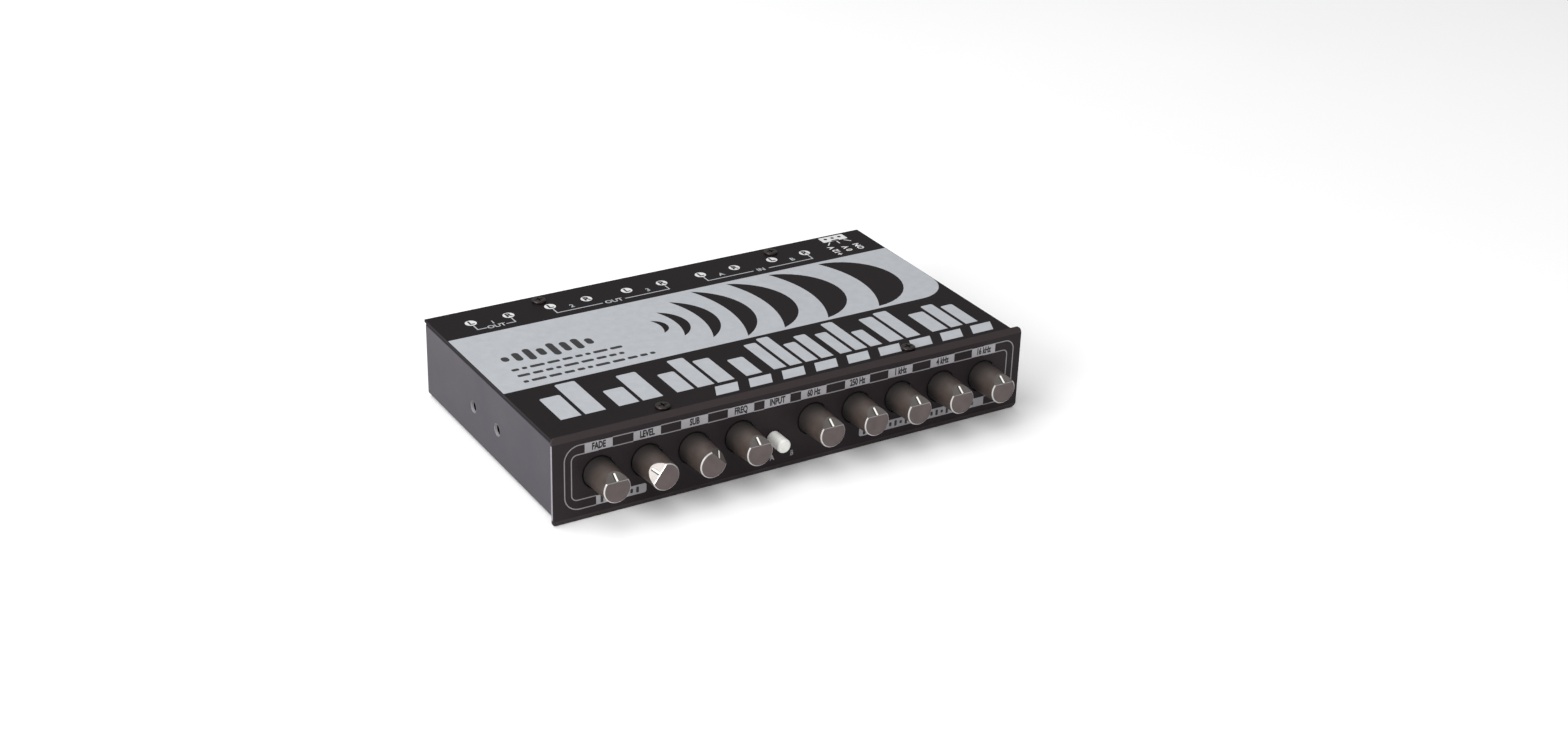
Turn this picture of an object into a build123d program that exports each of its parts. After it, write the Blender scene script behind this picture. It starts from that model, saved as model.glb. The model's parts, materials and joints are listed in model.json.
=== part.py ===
from build123d import *
import math
import os

os.makedirs("parts", exist_ok=True)

# ---------------------------------------------------------------------------------------
# A slim in-car graphic equalizer: a folded steel case behind a bevelled front panel, nine
# rotary controls and one push button in front, ten phono jacks and a power socket behind.
#
# Frame: +X to the right of someone facing the front, +Y from the front to the back, +Z up.
# The origin is the centre of the whole object's footprint, at the panel's lower edge.
# A "depth" is a distance behind the front panel's face; in front of it, it is negative.
# ---------------------------------------------------------------------------------------

# Front panel (mm)
panel_width = 178.0
panel_height = 31.0
panel_thickness = 1.2
panel_corner_radius = 1.5
panel_bevel_height = 2.0
panel_bevel_depth = 0.8

# Case
case_depth = 100.0
sheet = 1.0
bend_radius = 1.5
panel_side_margin = 1.5
panel_top_margin = 1.8
panel_bottom_margin = 0.4
cover_thickness = 1.0
cover_overhang = 0.4
tray_flange = 8.0
bracket_sheet = 1.0
bracket_side_reach = 1.1
bracket_flange = 10.0
rear_flange = 9.0
insert_gap = 0.7
flange_gap = 0.3
sheet_clearance = 0.1

# Holes for fixing the case to a bracket in the car
side_hole_radius = 2.15
side_hole_height = 13.2
side_hole_depths = (45.1, 63.7)

# Fasteners
cover_screw_side_inset = 40.7
cover_screw_inset = 4.7
cover_screw_radius = 1.5
cover_screw_length = 5.0
cover_screw_clearance = 0.2
screw_head_radius = 2.5
screw_head_height = 1.0
screw_head_round = 0.55
screw_slot_length = 2.8
screw_slot_width = 0.55
screw_slot_depth = 0.6
rivet_radius = 1.5
rivet_head_radius = 2.5
rivet_head_height = 0.8
rivet_side_inset = 27.5
stud_inset = 6.6
stud_heights = (9.0, 22.0)
stud_radius = 1.25
stud_embedded = 0.7
stud_nut_width = 5.0
stud_nut_height = 2.0
stud_overrun = 0.8
stud_clearance = 0.15

# Rotary controls
knob_pitch = 17.0
left_group_inset = 16.0
right_group_inset = 15.6
control_height = 15.9
left_controls = ("fader", "volume", "sub_level", "sub_cutoff")
right_controls = ("band_1", "band_2", "band_3", "band_4", "band_5")
control_turn = {"volume": -54.0, "sub_level": 45.0}
knob_reach = 12.8
knob_sink = 0.4
knob_base_radius = 5.25
knob_front_radius = 4.7
knob_rim = 0.35
knob_hole_clearance = 0.6
knob_skirt = 0.5
knob_front_wall = 1.8
knob_fit = 0.02
facet_height = 2.6
facet_tilt = 56.0
shaft_radius = 3.0
shaft_flat = 1.5
shaft_flat_length = 7.0
shaft_end_gap = 0.2
shaft_running_clearance = 0.05
collar_radius = 3.9
collar_length = 2.2
collar_clearance = 0.2
pot_width = 9.8
pot_height = 11.0
pot_depth = 6.5
pot_front_wall = 0.6
bushing_radius = 3.5
bushing_clearance = 0.05
bushing_overrun = 0.3
washer_radius = 4.7
washer_thickness = 0.5
nut_width = 8.0
nut_height = 1.8
nut_clearance = 0.6
pin_radius = 0.45
pin_reach = 1.0
pin_pitch = 2.5
pin_clearance = 0.1

# Push button and its switch
button_pitch = 12.7
button_height = 12.2
button_radius = 2.45
button_reach = 7.0
button_sink = 0.2
button_round = 0.8
button_front_wall = 2.8
button_hole_clearance = 0.3
button_fit = 0.02
switch_size = 8.0
switch_wall = 0.8
plunger_radius = 1.5
plunger_clearance = 0.1
plunger_collar_radius = 2.8
plunger_collar_length = 1.0
plunger_spigot_radius = 1.2
plunger_spigot_length = 1.0
cavity_clearance = 0.3
spring_wire_radius = 0.15
spring_radius = 1.9
spring_turns = 4

# Boards
board_thickness = 1.6
control_board_inset = 9.0
control_board_height = 22.0
control_board_bottom = 4.4
board_lift = 4.0
board_side_gap = 2.0
board_front_gap = 1.6
board_rear_gap = 0.6
standoff_width = 5.0
standoff_side_inset = 8.1
standoff_front_inset = 8.1
standoff_rear_inset = 20.6
standoff_shank_radius = 1.6
board_screw_radius = 1.25
board_screw_length = 4.0
board_screw_clearance = 0.15
board_screw_head_radius = 2.3
board_screw_head_height = 1.4
header_x = 34.0
header_pins = 12
header_pitch = 2.54
header_depth = 5.0
header_height = 2.6
header_pin_width = 0.6
header_pin_height = 1.4
header_pin_setback = 3.4
header_pin_overrun = 0.8

# Phono jacks
jack_pair_pitch = 29.75
jack_pitch = 14.0
jack_side_inset = 19.7
jack_height = 15.0
jack_reach = 9.5
jack_radius = 4.15
jack_wall = 0.55
jack_seat = 5.0
jack_shoulder = 0.25
jack_hole_clearance = 0.15
jack_block_width = 26.0
jack_block_depth = 13.0
jack_block_top = 21.5
insulator_setback = 0.8
contact_radius = 2.1
contact_wall = 0.5
contact_setback = 1.6

# Power socket
socket_side_inset = 12.8
socket_width = 17.0
socket_height = 9.0
socket_reach = 8.0
socket_depth = 11.0
socket_wall = 1.2
socket_cavity_depth = 11.0
socket_clearance = 0.2
socket_key_width = 3.0
socket_key_height = 0.8
socket_pin_width = 1.0
socket_pin_pitch = 5.08
socket_pin_embedded = 3.0
socket_pin_setback = 4.6

# Parts on the main board: places are x and the distance from the board's front edge
chip_places = ((-56, 18), (-34, 18), (-12, 18), (10, 18), (-45, 40), (-20, 40))
chip_length = 9.8
chip_width = 6.4
chip_height = 3.4
chip_lift = 0.6
chip_leg_width = 0.5
chip_leg_pitch = 2.54
chip_notch_radius = 0.8
small_capacitor_places = ((-66, 40), (-58, 54), (-46, 58), (-30, 56), (-14, 58), (4, 42), (16, 42), (4, 58))
small_capacitor_radius = 3.15
small_capacitor_height = 11.0
large_capacitor_places = ((52, 62), (66, 62))
large_capacitor_radius = 5.0
large_capacitor_height = 16.0
capacitor_groove = 0.4
regulator_place = (66, 28)
regulator_size = (10.0, 4.5, 9.0)
regulator_tab_thickness = 1.3
regulator_tab_height = 6.5
regulator_hole_radius = 1.8
regulator_leg_height = 3.0
regulator_leg_width = 0.8
choke_place = (42, 36)
choke_ring_radius = 6.5
choke_wire_radius = 2.6

# ---------------------------------------------------------------------------------------
# Levels and depths that follow from the sizes above
# ---------------------------------------------------------------------------------------
cover_width = panel_width - 2 * panel_side_margin
cover_top = panel_height - panel_top_margin
cover_bottom = cover_top - cover_thickness
tray_width = cover_width - 2 * cover_overhang
tray_bottom = panel_bottom_margin
tray_height = cover_bottom - tray_bottom
floor_top = tray_bottom + sheet
insert_width = tray_width - 2 * sheet - 2 * insert_gap
flange_span = tray_width - 2 * tray_flange - 2 * flange_gap
bracket_width = tray_width + 2 * bracket_side_reach

bracket_rear = panel_thickness + bracket_sheet
case_front = bracket_rear
case_rear = case_front + case_depth
wall_rear = case_rear - sheet
pot_rear = bracket_rear + pot_depth
control_board_rear = pot_rear + board_thickness
board_bottom = floor_top + board_lift
board_top = board_bottom + board_thickness
board_front = control_board_rear + board_front_gap
board_rear = wall_rear - board_rear_gap
washer_front = panel_thickness - washer_thickness
nut_front = washer_front - nut_height
bushing_front = nut_front - bushing_overrun
cover_screw_depths = (case_front + cover_screw_inset, case_rear - cover_screw_inset)
rivet_depths = (case_front + bracket_flange / 2, wall_rear - rear_flange / 2)

main_board_width = tray_width - 2 * sheet - 2 * board_side_gap

overall_depth = knob_reach + case_rear + jack_reach
front_y = knob_reach - overall_depth / 2

cover_screw_x = cover_width / 2 - cover_screw_side_inset
outer_rivet_x = cover_width / 2 - rivet_side_inset
stud_x = panel_width / 2 - stud_inset
standoff_x = main_board_width / 2 - standoff_side_inset
socket_x = cover_width / 2 - socket_side_inset
first_pair_x = jack_side_inset - cover_width / 2
left_group_x = left_group_inset - panel_width / 2
right_group_x = panel_width / 2 - right_group_inset - (len(right_controls) - 1) * knob_pitch
button_x = left_group_x + (len(left_controls) - 1) * knob_pitch + button_pitch

control_x = {}
for index, name in enumerate(left_controls):
    control_x[name] = left_group_x + index * knob_pitch
for index, name in enumerate(right_controls):
    control_x[name] = right_group_x + index * knob_pitch
control_spots = [(x, control_height) for x in control_x.values()]

pair_x = [first_pair_x + index * jack_pair_pitch for index in range(5)]
left_jack_spots = [(x - jack_pitch / 2, jack_height) for x in pair_x]
right_jack_spots = [(x + jack_pitch / 2, jack_height) for x in pair_x]
jack_spots = left_jack_spots + right_jack_spots
socket_spot = (socket_x, jack_height)


def facing_front(depth, x=0.0, z=0.0, turn=0.0):
    """A plane at a depth behind the panel's face, looking out of the front; turn is clockwise."""
    angle = math.radians(turn)
    right = (math.cos(angle), 0, -math.sin(angle))
    return Plane(origin=(x, front_y + depth, z), x_dir=right, z_dir=(0, -1, 0))


def level(z):
    """A horizontal plane whose Y is measured from the front panel's face."""
    return Plane(origin=(0, front_y, z), x_dir=(1, 0, 0), z_dir=(0, 0, 1))


def d_section(radius, flat):
    """A round section with one flat, on the side that the plane's Y points to."""
    Circle(radius)
    with Locations((0, flat + radius)):
        Rectangle(4 * radius, 2 * radius, mode=Mode.SUBTRACT)


def finish(part, name):
    part.label = name
    export_step(part, f"parts/{name}.step")


cover_screw_spots = [(x, depth) for x in (-cover_screw_x, cover_screw_x) for depth in cover_screw_depths]
rivet_row = (-outer_rivet_x, 0, outer_rivet_x)
rivet_spots = [(x, depth) for x in rivet_row for depth in rivet_depths]
standoff_depths = (board_front + standoff_front_inset, board_rear - standoff_rear_inset)
standoff_spots = [(x, depth) for x in (-standoff_x, standoff_x) for depth in standoff_depths]
stud_spots = [(x, z) for x in (-stud_x, stud_x) for z in stud_heights]

# ---------------------------------------------------------------------------------------
# Case
# ---------------------------------------------------------------------------------------

# Floor, both side walls and their inward top flanges, folded from one sheet
with BuildPart() as chassis_tray:
    with BuildSketch(facing_front(case_rear)):
        with Locations((0, tray_bottom + tray_height / 2)):
            RectangleRounded(tray_width, tray_height, bend_radius)
            RectangleRounded(
                tray_width - 2 * sheet, tray_height - 2 * sheet, bend_radius - sheet, mode=Mode.SUBTRACT
            )
        with Locations((0, cover_bottom)):
            Rectangle(tray_width - 2 * tray_flange, 4 * sheet, mode=Mode.SUBTRACT)
    extrude(amount=case_depth)
    with BuildSketch(Plane.YZ):
        with Locations(*[(front_y + depth, side_hole_height) for depth in side_hole_depths]):
            Circle(side_hole_radius)
    extrude(amount=tray_width, both=True, mode=Mode.SUBTRACT)
    with BuildSketch(level(tray_bottom)):
        with Locations(*rivet_spots):
            Circle(rivet_radius)
        with Locations(*standoff_spots):
            Circle(standoff_shank_radius)
    extrude(amount=sheet, mode=Mode.SUBTRACT)
finish(chassis_tray.part, "chassis_tray")

# Rear wall with a flange top and bottom, let in between the tray's sides
with BuildPart() as rear_panel:
    with BuildSketch(facing_front(case_rear)):
        with Locations((0, (floor_top + cover_bottom) / 2)):
            Rectangle(flange_span, cover_bottom - floor_top)
        with Locations((0, (floor_top + cover_bottom - sheet - sheet_clearance) / 2)):
            Rectangle(insert_width, cover_bottom - floor_top - sheet - sheet_clearance)
    extrude(amount=sheet)
    with BuildSketch(level(floor_top)):
        with Locations((0, wall_rear - rear_flange / 2)):
            Rectangle(insert_width, rear_flange)
        with Locations(*[(x, rivet_depths[1]) for x in rivet_row]):
            Circle(rivet_radius, mode=Mode.SUBTRACT)
    extrude(amount=sheet)
    with BuildSketch(level(cover_bottom - sheet)):
        with Locations((0, wall_rear - rear_flange / 2)):
            Rectangle(flange_span, rear_flange)
        with Locations(*[(x, cover_screw_depths[1]) for x in (-cover_screw_x, cover_screw_x)]):
            Circle(cover_screw_radius, mode=Mode.SUBTRACT)
    extrude(amount=sheet)
    with BuildSketch(facing_front(case_rear)):
        with Locations(*jack_spots):
            Circle(jack_radius + jack_shoulder + jack_hole_clearance)
        with Locations(socket_spot):
            Rectangle(socket_width + 2 * socket_clearance, socket_height + 2 * socket_clearance)
    extrude(amount=sheet, mode=Mode.SUBTRACT)
finish(rear_panel.part, "rear_panel")

# Plated bracket behind the front panel: it carries the controls and the cover's front screws
with BuildPart() as front_bracket:
    with BuildSketch(facing_front(bracket_rear)):
        with Locations((0, (floor_top + cover_bottom) / 2)):
            Rectangle(bracket_width, cover_bottom - floor_top)
        with Locations(*control_spots):
            Circle(bushing_radius + bushing_clearance, mode=Mode.SUBTRACT)
        with Locations((button_x, button_height)):
            Circle(button_radius + button_hole_clearance, mode=Mode.SUBTRACT)
        with Locations(*stud_spots):
            Circle(stud_radius + stud_clearance, mode=Mode.SUBTRACT)
    extrude(amount=bracket_sheet)
    with BuildSketch(level(floor_top)):
        with Locations((0, bracket_rear + bracket_flange / 2)):
            Rectangle(insert_width, bracket_flange)
        with Locations(*[(x, rivet_depths[0]) for x in rivet_row]):
            Circle(rivet_radius, mode=Mode.SUBTRACT)
    extrude(amount=sheet)
    with BuildSketch(level(cover_bottom - sheet)):
        with Locations((0, bracket_rear + bracket_flange / 2)):
            Rectangle(flange_span, bracket_flange)
        with Locations(*[(x, cover_screw_depths[0]) for x in (-cover_screw_x, cover_screw_x)]):
            Circle(cover_screw_radius, mode=Mode.SUBTRACT)
    extrude(amount=sheet)
finish(front_bracket.part, "front_bracket")

# Flat lid that lies on the flanges and butts against the back of the front panel
with BuildPart() as top_cover:
    with BuildSketch(level(cover_bottom)):
        with Locations((0, (panel_thickness + case_rear) / 2)):
            Rectangle(cover_width, case_rear - panel_thickness)
        with Locations(*cover_screw_spots):
            Circle(cover_screw_radius + cover_screw_clearance, mode=Mode.SUBTRACT)
    extrude(amount=cover_thickness)
finish(top_cover.part, "top_cover")

with BuildPart() as top_cover_screws:
    with BuildSketch(level(cover_top - cover_screw_length)):
        with Locations(*cover_screw_spots):
            Circle(cover_screw_radius)
    extrude(amount=cover_screw_length)
    with BuildSketch(level(cover_top)):
        with Locations(*cover_screw_spots):
            Circle(screw_head_radius)
    extrude(amount=screw_head_height)
    head_rims = top_cover_screws.edges().filter_by(GeomType.CIRCLE).group_by(Axis.Z)[-1]
    fillet(head_rims, screw_head_round)
    with BuildSketch(level(cover_top + screw_head_height)):
        with Locations(*cover_screw_spots):
            Rectangle(screw_slot_length, screw_slot_width)
            Rectangle(screw_slot_width, screw_slot_length)
    extrude(amount=-screw_slot_depth, mode=Mode.SUBTRACT)
finish(top_cover_screws.part, "top_cover_screws")

# Rivets through the floor and the two bottom flanges, flush with the underside
with BuildPart() as case_rivets:
    with BuildSketch(level(tray_bottom)):
        with Locations(*rivet_spots):
            Circle(rivet_radius)
    extrude(amount=2 * sheet)
    with BuildSketch(level(floor_top + sheet)):
        with Locations(*rivet_spots):
            Circle(rivet_head_radius)
    extrude(amount=rivet_head_height)
finish(case_rivets.part, "case_rivets")

# ---------------------------------------------------------------------------------------
# Front panel and what holds it
# ---------------------------------------------------------------------------------------

with BuildPart() as front_panel:
    with BuildSketch(facing_front(panel_thickness)):
        with Locations((0, panel_height / 2)):
            RectangleRounded(panel_width, panel_height, panel_corner_radius)
        with Locations(*control_spots):
            Circle(knob_base_radius + knob_hole_clearance, mode=Mode.SUBTRACT)
        with Locations((button_x, button_height)):
            Circle(button_radius + button_hole_clearance, mode=Mode.SUBTRACT)
    extrude(amount=panel_thickness)
    # long bevels along the lower and upper front edges
    with BuildSketch(Plane.YZ):
        with BuildLine():
            Polyline(
                (front_y, panel_bevel_height),
                (front_y, 0),
                (front_y + panel_bevel_depth, 0),
                close=True,
            )
        make_face()
        with BuildLine():
            Polyline(
                (front_y, panel_height - panel_bevel_height),
                (front_y, panel_height),
                (front_y + panel_bevel_depth, panel_height),
                close=True,
            )
        make_face()
    extrude(amount=panel_width, both=True, mode=Mode.SUBTRACT)
    # blind seats for the studs
    with BuildSketch(facing_front(panel_thickness)):
        with Locations(*stud_spots):
            Circle(stud_radius)
    extrude(amount=stud_embedded, mode=Mode.SUBTRACT)
finish(front_panel.part, "front_panel")

stud_rear = bracket_rear + stud_nut_height + stud_overrun
with BuildPart() as panel_studs:
    with BuildSketch(facing_front(stud_rear)):
        with Locations(*stud_spots):
            Circle(stud_radius)
    extrude(amount=stud_rear - panel_thickness + stud_embedded)
finish(panel_studs.part, "panel_studs")

with BuildPart() as panel_nuts:
    with BuildSketch(facing_front(bracket_rear + stud_nut_height)):
        with Locations(*stud_spots):
            RegularPolygon(stud_nut_width / 2, 6, major_radius=False)
            Circle(stud_radius, mode=Mode.SUBTRACT)
    extrude(amount=stud_nut_height)
finish(panel_nuts.part, "panel_nuts")

# ---------------------------------------------------------------------------------------
# Rotary controls: potentiometer, washer, nut, shaft and knob
# ---------------------------------------------------------------------------------------
shaft_front = -(knob_reach - knob_front_wall - shaft_end_gap)
collar_front = bracket_rear + pot_front_wall + collar_clearance
collar_rear = collar_front + collar_length
cavity_rear = collar_rear + collar_clearance
terminal_offsets = [(index * pin_pitch, -pot_height / 4) for index in (-1, 0, 1)]
terminal_radius = pin_radius + pin_clearance


def potentiometer(name, x):
    with BuildPart() as pot:
        with BuildSketch(facing_front(pot_rear, x, control_height)):
            Rectangle(pot_width, pot_height)
        extrude(amount=pot_depth)
        with BuildSketch(facing_front(bracket_rear, x, control_height)):
            Circle(bushing_radius)
        extrude(amount=bracket_rear - bushing_front)
        with BuildSketch(facing_front(cavity_rear, x, control_height)):
            Circle(collar_radius + collar_clearance)
        extrude(amount=cavity_rear - bracket_rear - pot_front_wall, mode=Mode.SUBTRACT)
        with BuildSketch(facing_front(cavity_rear, x, control_height)):
            Circle(shaft_radius + shaft_running_clearance)
        extrude(amount=cavity_rear - bushing_front, mode=Mode.SUBTRACT)
        with BuildSketch(facing_front(control_board_rear + pin_reach, x, control_height)):
            with Locations(*terminal_offsets):
                Circle(pin_radius)
        extrude(amount=board_thickness + pin_reach)
    finish(pot.part, f"potentiometer_{name}")


def shaft(name, x, turn):
    with BuildPart() as spindle:
        with BuildSketch(facing_front(collar_rear, x, control_height, turn)):
            Circle(shaft_radius)
        extrude(amount=collar_rear - shaft_front)
        with BuildSketch(facing_front(collar_rear, x, control_height, turn)):
            Circle(collar_radius)
        extrude(amount=collar_length)
        with BuildSketch(facing_front(shaft_front, x, control_height, turn)):
            with Locations((0, shaft_flat + shaft_radius)):
                Rectangle(4 * shaft_radius, 2 * shaft_radius)
        extrude(amount=-shaft_flat_length, mode=Mode.SUBTRACT)
    finish(spindle.part, f"shaft_{name}")


def knob(name, x, turn):
    angle = math.radians(turn)
    toward_facet = (math.sin(angle), 0, math.cos(angle))
    across_facet = (math.cos(angle), 0, -math.sin(angle))
    front_centre = (x, front_y - knob_reach, control_height)
    facet_plane = Plane(origin=front_centre, x_dir=toward_facet, z_dir=across_facet)
    beyond = 2 * knob_base_radius
    facet_drop = (beyond - facet_height) * math.tan(math.radians(facet_tilt))
    recess_front = bushing_front - bushing_overrun
    bore_front = shaft_front - shaft_end_gap
    with BuildPart() as cap:
        with BuildSketch(facing_front(knob_sink, x, control_height, turn)):
            Circle(knob_base_radius)
        with BuildSketch(facing_front(-knob_reach, x, control_height, turn)):
            Circle(knob_front_radius)
        loft()
        rim = cap.edges().filter_by(GeomType.CIRCLE).sort_by(Axis.Y)[0]
        chamfer(rim, knob_rim)
        # the sloping facet that carries the pointer
        with BuildSketch(facet_plane):
            with BuildLine():
                Polyline((facet_height, 0), (facet_height, 1), (beyond, 1), (beyond, -facet_drop), close=True)
            make_face()
        extrude(amount=beyond, both=True, mode=Mode.SUBTRACT)
        # room for the nut, then the bore for the flatted shaft
        with BuildSketch(facing_front(knob_sink, x, control_height, turn)):
            Circle(knob_base_radius - knob_skirt)
        extrude(amount=knob_sink - recess_front, mode=Mode.SUBTRACT)
        with BuildSketch(facing_front(shaft_front + shaft_flat_length, x, control_height, turn)):
            d_section(shaft_radius + knob_fit, shaft_flat + knob_fit)
        extrude(amount=shaft_flat_length + shaft_end_gap, mode=Mode.SUBTRACT)
        with BuildSketch(facing_front(recess_front, x, control_height, turn)):
            Circle(shaft_radius + knob_fit)
        extrude(amount=recess_front - shaft_front - shaft_flat_length, mode=Mode.SUBTRACT)
    finish(cap.part, f"knob_{name}")


for control, position in control_x.items():
    setting = control_turn.get(control, 0.0)
    potentiometer(control, position)
    shaft(control, position, setting)
    knob(control, position, setting)

with BuildPart() as potentiometer_washers:
    with BuildSketch(facing_front(panel_thickness)):
        with Locations(*control_spots):
            Circle(washer_radius)
            Circle(bushing_radius + bushing_clearance, mode=Mode.SUBTRACT)
    extrude(amount=washer_thickness)
finish(potentiometer_washers.part, "potentiometer_washers")

with BuildPart() as potentiometer_nuts:
    with BuildSketch(facing_front(washer_front)):
        with Locations(*control_spots):
            RegularPolygon(nut_width / 2, 6, major_radius=False)
            Circle(bushing_radius, mode=Mode.SUBTRACT)
    extrude(amount=nut_height)
finish(potentiometer_nuts.part, "potentiometer_nuts")

# ---------------------------------------------------------------------------------------
# Push button and its switch
# ---------------------------------------------------------------------------------------
button_spot = (button_x, button_height)
switch_cavity_front = bracket_rear + switch_wall
switch_cavity_rear = pot_rear - switch_wall
plunger_front = -(button_reach - button_front_wall)
collar_back = switch_cavity_front + plunger_collar_length
switch_pin_offsets = [(index * pin_pitch, 0) for index in (-1, 0, 1)]

with BuildPart() as source_button:
    with BuildSketch(facing_front(button_sink, *button_spot)):
        Circle(button_radius)
    extrude(amount=button_sink + button_reach)
    front_rim = source_button.edges().filter_by(GeomType.CIRCLE).sort_by(Axis.Y)[0]
    fillet(front_rim, button_round)
    with BuildSketch(facing_front(button_sink, *button_spot)):
        Circle(plunger_radius + button_fit)
    extrude(amount=button_sink - plunger_front + button_fit, mode=Mode.SUBTRACT)
finish(source_button.part, "source_button")

with BuildPart() as switch_plunger:
    with BuildSketch(facing_front(switch_cavity_front, *button_spot)):
        Circle(plunger_radius)
    extrude(amount=switch_cavity_front - plunger_front)
    with BuildSketch(facing_front(collar_back, *button_spot)):
        Circle(plunger_collar_radius)
    extrude(amount=plunger_collar_length)
    with BuildSketch(facing_front(collar_back + plunger_spigot_length, *button_spot)):
        Circle(plunger_spigot_radius)
    extrude(amount=plunger_spigot_length)
finish(switch_plunger.part, "switch_plunger")

with BuildPart() as switch_body:
    with BuildSketch(facing_front(pot_rear, *button_spot)):
        Rectangle(switch_size, switch_size)
    extrude(amount=pot_depth)
    with BuildSketch(facing_front(switch_cavity_rear, *button_spot)):
        Circle(plunger_collar_radius + cavity_clearance)
    extrude(amount=switch_cavity_rear - switch_cavity_front, mode=Mode.SUBTRACT)
    with BuildSketch(facing_front(switch_cavity_front, *button_spot)):
        Circle(plunger_radius + plunger_clearance)
    extrude(amount=switch_wall, mode=Mode.SUBTRACT)
    with BuildSketch(facing_front(control_board_rear + pin_reach, *button_spot)):
        with Locations(*switch_pin_offsets):
            Circle(pin_radius)
    extrude(amount=board_thickness + pin_reach)
finish(switch_body.part, "switch_body")

# Return spring round the plunger's spigot, between its collar and the back of the switch
spring_length = switch_cavity_rear - collar_back - 2 * spring_wire_radius
spring_seat = (button_x, front_y + switch_cavity_rear - spring_wire_radius, button_height)
with BuildPart() as switch_spring:
    with BuildLine() as coil:
        Helix(
            pitch=spring_length / spring_turns,
            height=spring_length,
            radius=spring_radius,
            center=spring_seat,
            direction=(0, -1, 0),
        )
    with BuildSketch(Plane(origin=coil.line @ 0, z_dir=coil.line % 0)):
        Circle(spring_wire_radius)
    sweep()
finish(switch_spring.part, "switch_spring")

# ---------------------------------------------------------------------------------------
# Boards, and what joins them
# ---------------------------------------------------------------------------------------
header_row = [header_x + (index - (header_pins - 1) / 2) * header_pitch for index in range(header_pins)]
header_pin_z = board_top + header_pin_height
header_pin_depth = control_board_rear + header_pin_setback
header_hole_radius = header_pin_width * math.sqrt(2) / 2 + pin_clearance
terminal_spots = [(x + dx, z + dz) for x, z in control_spots for dx, dz in terminal_offsets]
switch_pin_spots = [(button_x + dx, button_height + dz) for dx, dz in switch_pin_offsets]

with BuildPart() as control_board:
    with BuildSketch(facing_front(control_board_rear)):
        with Locations((0, control_board_bottom + control_board_height / 2)):
            Rectangle(panel_width - 2 * control_board_inset, control_board_height)
        with Locations(*terminal_spots, *switch_pin_spots):
            Circle(terminal_radius, mode=Mode.SUBTRACT)
        with Locations(*[(x, header_pin_z) for x in header_row]):
            Circle(header_hole_radius, mode=Mode.SUBTRACT)
    extrude(amount=board_thickness)
finish(control_board.part, "control_board")

with BuildPart() as main_board:
    with BuildSketch(level(board_bottom)):
        with Locations((0, (board_front + board_rear) / 2)):
            Rectangle(main_board_width, board_rear - board_front)
        with Locations(*standoff_spots):
            Circle(board_screw_radius + board_screw_clearance, mode=Mode.SUBTRACT)
        with Locations(*[(x, header_pin_depth) for x in header_row]):
            Circle(header_hole_radius, mode=Mode.SUBTRACT)
    extrude(amount=board_thickness)
finish(main_board.part, "main_board")

with BuildPart() as board_standoffs:
    with BuildSketch(level(floor_top)):
        with Locations(*standoff_spots):
            RegularPolygon(standoff_width / 2, 6, major_radius=False)
    extrude(amount=board_lift)
    with BuildSketch(level(tray_bottom)):
        with Locations(*standoff_spots):
            Circle(standoff_shank_radius)
    extrude(amount=sheet)
    with BuildSketch(level(board_bottom)):
        with Locations(*standoff_spots):
            Circle(board_screw_radius)
    extrude(amount=board_thickness - board_screw_length, mode=Mode.SUBTRACT)
finish(board_standoffs.part, "board_standoffs")

with BuildPart() as board_screws:
    with BuildSketch(level(board_top)):
        with Locations(*standoff_spots):
            Circle(board_screw_radius)
    extrude(amount=-board_screw_length)
    with BuildSketch(level(board_top)):
        with Locations(*standoff_spots):
            Circle(board_screw_head_radius)
    extrude(amount=board_screw_head_height)
    with BuildSketch(level(board_top + board_screw_head_height)):
        with Locations(*standoff_spots):
            Rectangle(screw_slot_length, screw_slot_width)
            Rectangle(screw_slot_width, screw_slot_length)
    extrude(amount=-screw_slot_depth, mode=Mode.SUBTRACT)
finish(board_screws.part, "board_screws")

# Right-angled header pins: through the control board, then down through the main board
header_pin_front = pot_rear - header_pin_overrun
header_pin_foot = board_bottom - header_pin_overrun
half_pin = header_pin_width / 2
with BuildPart() as header_pins_group:
    for pin_x in header_row:
        with BuildSketch(facing_front(header_pin_depth + half_pin)):
            with Locations((pin_x, header_pin_z)):
                Rectangle(header_pin_width, header_pin_width)
        extrude(amount=header_pin_depth + half_pin - header_pin_front)
        with BuildSketch(level(header_pin_foot)):
            with Locations((pin_x, header_pin_depth)):
                Rectangle(header_pin_width, header_pin_width)
        extrude(amount=header_pin_z - header_pin_foot)
finish(header_pins_group.part, "header_pins")

with BuildPart() as header_body:
    with BuildSketch(level(board_top)):
        with Locations((header_x, control_board_rear + header_depth / 2)):
            Rectangle(header_pins * header_pitch, header_depth)
    extrude(amount=header_height)
    add(header_pins_group.part, mode=Mode.SUBTRACT)
finish(header_body.part, "header_body")

# ---------------------------------------------------------------------------------------
# Phono jacks: five twin blocks on the main board, their shells, insulators and contacts
# ---------------------------------------------------------------------------------------
jack_seat_depth = wall_rear - jack_seat
shell_rear = case_rear + jack_reach

with BuildPart() as jack_blocks:
    with BuildSketch(level(board_top)):
        with Locations(*[(x, wall_rear - jack_block_depth / 2) for x in pair_x]):
            Rectangle(jack_block_width, jack_block_depth)
    extrude(amount=jack_block_top - board_top)
    with BuildSketch(facing_front(wall_rear)):
        with Locations(*jack_spots):
            Circle(jack_radius + jack_shoulder)
    extrude(amount=jack_seat, mode=Mode.SUBTRACT)
finish(jack_blocks.part, "jack_blocks")

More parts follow.
